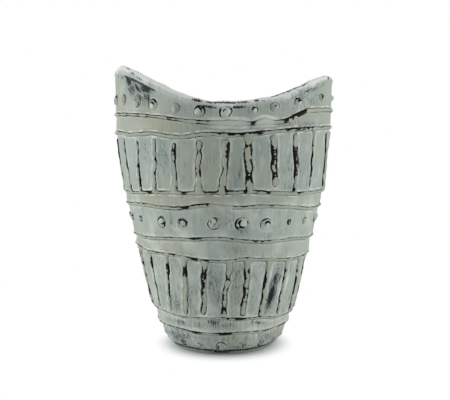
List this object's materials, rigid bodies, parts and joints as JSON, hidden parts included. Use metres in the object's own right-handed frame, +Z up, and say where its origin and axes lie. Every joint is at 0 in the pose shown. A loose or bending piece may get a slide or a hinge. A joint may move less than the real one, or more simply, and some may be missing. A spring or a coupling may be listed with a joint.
{
  "type": "wide-neck vase",
  "caption": "Hand-built wide-necked stoneware vase: flaring wall, dipping saddle rim, applied clay cordons, ribs and pellets under a pale grey-green matte glaze. Holds flowers or stands alone.",
  "frame": {"origin": "on the ground under the middle of the base slab", "axes": "+Z up the axis of the vase, -Y towards the front dip of the rim, -X towards the higher peak"},
  "size_m": [0.2257, 0.2253, 0.2856],
  "materials": {
    "wall_glaze": "matte grey-green glaze, brushed",
    "lip_glaze": "matte pale glaze",
    "relief_clay": "tan clay under rubbed glaze, black in the creases",
    "base_clay": "bare fired stoneware"
  },
  "bodies": {
    "root": {"base_slab": "base_clay", "wall": "wall_glaze", "rim_coil": "lip_glaze", "cordon_1": "relief_clay", "cordon_2": "relief_clay", "cordon_3": "relief_clay", "cordon_4": "relief_clay", "cordon_5": "relief_clay", "cordon_6": "relief_clay", "cordon_7": "relief_clay", "cordon_8": "relief_clay", "upper_rib_01": "relief_clay", "upper_rib_02": "relief_clay", "upper_rib_03": "relief_clay", "upper_rib_04": "relief_clay", "upper_rib_05": "relief_clay", "upper_rib_06": "relief_clay", "upper_rib_07": "relief_clay", "upper_rib_08": "relief_clay", "upper_rib_09": "relief_clay", "upper_rib_10": "relief_clay", "upper_rib_11": "relief_clay", "upper_rib_12": "relief_clay", "upper_rib_13": "relief_clay", "upper_rib_14": "relief_clay", "upper_rib_15": "relief_clay", "upper_rib_16": "relief_clay", "upper_rib_17": "relief_clay", "upper_rib_18": "relief_clay", "upper_rib_19": "relief_clay", "upper_rib_20": "relief_clay", "upper_rib_21": "relief_clay", "upper_rib_22": "relief_clay", "upper_rib_23": "relief_clay", "upper_rib_24": "relief_clay", "upper_rib_25": "relief_clay", "upper_rib_26": "relief_clay", "lower_rib_01": "relief_clay", "lower_rib_02": "relief_clay", "lower_rib_03": "relief_clay", "lower_rib_04": "relief_clay", "lower_rib_05": "relief_clay", "lower_rib_06": "relief_clay", "lower_rib_07": "relief_clay", "lower_rib_08": "relief_clay", "lower_rib_09": "relief_clay", "lower_rib_10": "relief_clay", "lower_rib_11": "relief_clay", "lower_rib_12": "relief_clay", "lower_rib_13": "relief_clay", "lower_rib_14": "relief_clay", "lower_rib_15": "relief_clay", "lower_rib_16": "relief_clay", "lower_rib_17": "relief_clay", "lower_rib_18": "relief_clay", "lower_rib_19": "relief_clay", "lower_rib_20": "relief_clay", "lower_rib_21": "relief_clay", "lower_rib_22": "relief_clay", "lower_rib_23": "relief_clay"}
  },
  "joints": []
}
